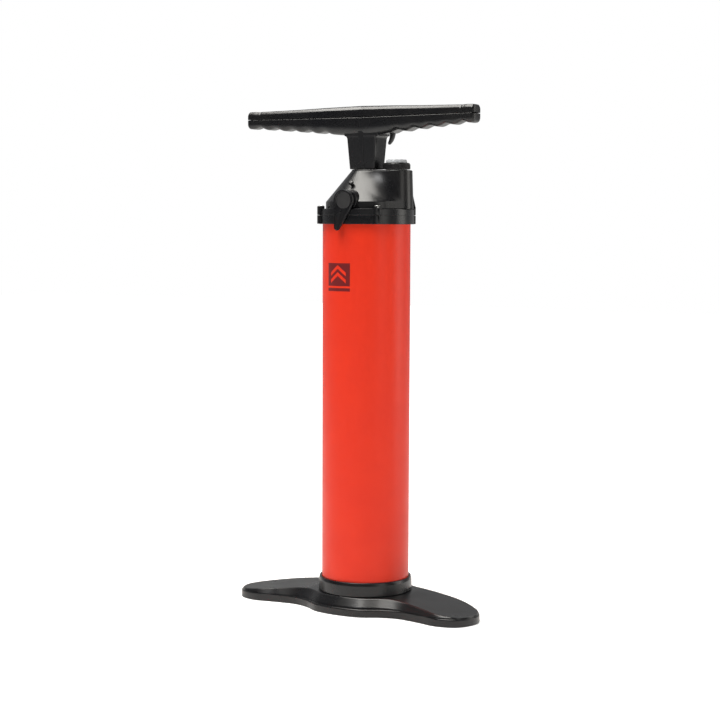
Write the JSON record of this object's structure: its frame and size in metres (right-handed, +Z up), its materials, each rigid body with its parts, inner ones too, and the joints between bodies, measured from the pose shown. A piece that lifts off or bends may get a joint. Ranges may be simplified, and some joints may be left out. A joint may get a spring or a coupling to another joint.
{
  "type": "stirrup hand air pump",
  "caption": "Upright double-action air pump worked by a T-handle and held down by the feet on a winged base, with a side hose port and a selector lever.",
  "frame": {"origin": "middle of the base's underside, on the barrel's axis", "axes": "+Z up along the barrel, +X along the handle and the base's wings, -Y to the front where the selector lever is"},
  "size_m": [0.298, 0.122, 0.5498],
  "materials": {
    "black_plastic": "satin moulded black plastic",
    "barrel": "orange-red satin plastic tube",
    "aluminium": "drawn tube",
    "steel": "zinc plated",
    "rubber": "black nitrile",
    "grey_plastic": "light grey plastic",
    "ivory_plastic": "natural acetal",
    "dark_plastic": "glass-filled dark plastic"
  },
  "bodies": {
    "pump_body": {"base_plate": "black_plastic", "base_screws": "steel", "lower_ring": "black_plastic", "lower_plug": "dark_plastic", "lower_seal": "rubber", "lower_inlet_cage": "ivory_plastic", "outer_tube": "barrel", "inner_cylinder": "aluminium", "top_collar": "black_plastic", "head_gasket": "rubber", "valve_plate": "ivory_plastic", "upper_inlet_cage": "ivory_plastic", "outlet_cages": "ivory_plastic", "head_hood": "black_plastic", "head_screws": "steel", "rod_seal": "rubber", "seal_retainer": "steel", "rod_bush": "ivory_plastic", "port_collar": "black_plastic", "port_insert": "grey_plastic", "port_seal": "rubber", "lanyard_knob": "black_plastic"},
    "piston": {"piston_core": "dark_plastic", "piston_seals": "rubber"},
    "handle": {"pump_rod": "aluminium", "rod_nut": "steel", "handle_lower": "black_plastic", "handle_upper": "black_plastic", "handle_screws": "steel", "cross_pin": "steel", "hose_hook": "black_plastic"},
    "selector": {"selector_spindle": "dark_plastic", "spindle_seal": "rubber", "selector_lever": "black_plastic", "lever_screw": "steel", "lever_cap": "dark_plastic"},
    "lower_inlet_valve": {"lower_inlet_disc": "rubber"},
    "upper_inlet_valve": {"upper_inlet_disc": "rubber"},
    "upper_outlet_valve": {"upper_outlet_disc": "rubber"},
    "lower_outlet_valve": {"lower_outlet_disc": "rubber"}
  },
  "joints": [
    {"name": "pump_stroke", "type": "slide", "parent": "pump_body", "child": "piston", "axis": [0, 0, 1], "range_m": [0, 0.345]},
    {"name": "handle_swivel", "type": "hinge", "parent": "piston", "child": "handle", "pos_m": [0, 0, 0.061], "axis": [0, 0, 1], "continuous": true},
    {"name": "selector_turn", "type": "hinge", "parent": "pump_body", "child": "selector", "pos_m": [0.00418, -0.04782, 0.4472], "axis": [0.0872, -0.9962, 0], "range_deg": [-8, 102]},
    {"name": "lower_inlet_lift", "type": "slide", "parent": "pump_body", "child": "lower_inlet_valve", "axis": [0, 0, 1], "range_m": [0, 0.0025]},
    {"name": "upper_inlet_lift", "type": "slide", "parent": "pump_body", "child": "upper_inlet_valve", "axis": [0, 0, 1], "range_m": [0, 0.0026]},
    {"name": "upper_outlet_lift", "type": "slide", "parent": "pump_body", "child": "upper_outlet_valve", "axis": [0, 0, 1], "range_m": [0, 0.0024]},
    {"name": "lower_outlet_lift", "type": "slide", "parent": "pump_body", "child": "lower_outlet_valve", "axis": [0, 0, 1], "range_m": [0, 0.0024]}
  ]
}
